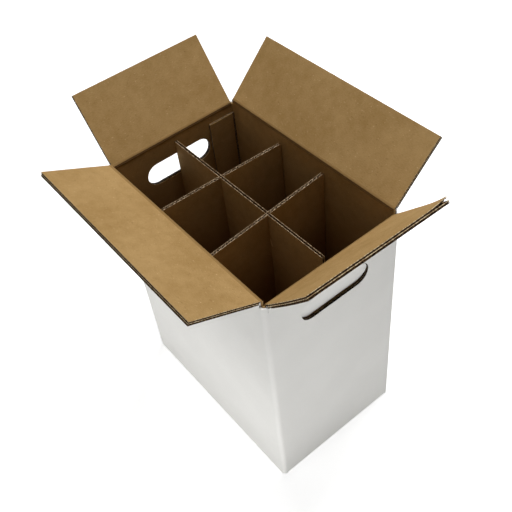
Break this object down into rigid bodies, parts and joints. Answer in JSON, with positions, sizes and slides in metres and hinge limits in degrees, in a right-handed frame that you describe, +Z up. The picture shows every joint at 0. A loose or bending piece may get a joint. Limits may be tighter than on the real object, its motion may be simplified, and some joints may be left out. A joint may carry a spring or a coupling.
{
  "type": "bottle shipping box",
  "caption": "Slotted corrugated carton standing open, with hinged top flaps, hand holes in both ends and interlocked dividers for bottles.",
  "frame": {"origin": "centre of the carton's flat underside", "axes": "+X towards the front end wall with the pushed-in hand hole, +Y towards the right side wall, +Z up through the open top"},
  "size_m": [0.3955, 0.3139, 0.41],
  "materials": {
    "carton_board": "matt white printed outside over brown kraft inside",
    "divider_board": "matt brown kraft"
  },
  "bodies": {
    "box": {"carton": "carton_board", "long_divider": "divider_board", "front_cross_divider": "divider_board", "rear_cross_divider": "divider_board"},
    "front_flap": {"front_end_flap": "carton_board"},
    "rear_flap": {"rear_end_flap": "carton_board"},
    "left_flap": {"left_side_flap": "carton_board"},
    "right_flap": {"right_side_flap": "carton_board"}
  },
  "joints": [
    {"name": "front_flap_crease", "type": "hinge", "parent": "box", "child": "front_flap", "pos_m": [0.1376, 0, 0.338], "axis": [0, 1, 0], "range_deg": [-134, 106]},
    {"name": "rear_flap_crease", "type": "hinge", "parent": "box", "child": "rear_flap", "pos_m": [-0.1376, 0, 0.338], "axis": [0, -1, 0], "range_deg": [-127.8, 112.2]},
    {"name": "left_flap_crease", "type": "hinge", "parent": "box", "child": "left_flap", "pos_m": [0, -0.0881, 0.3431], "axis": [1, 0, 0], "range_deg": [-153.8, 86.2]},
    {"name": "right_flap_crease", "type": "hinge", "parent": "box", "child": "right_flap", "pos_m": [0, 0.0881, 0.3431], "axis": [-1, 0, 0], "range_deg": [-135, 105]}
  ]
}
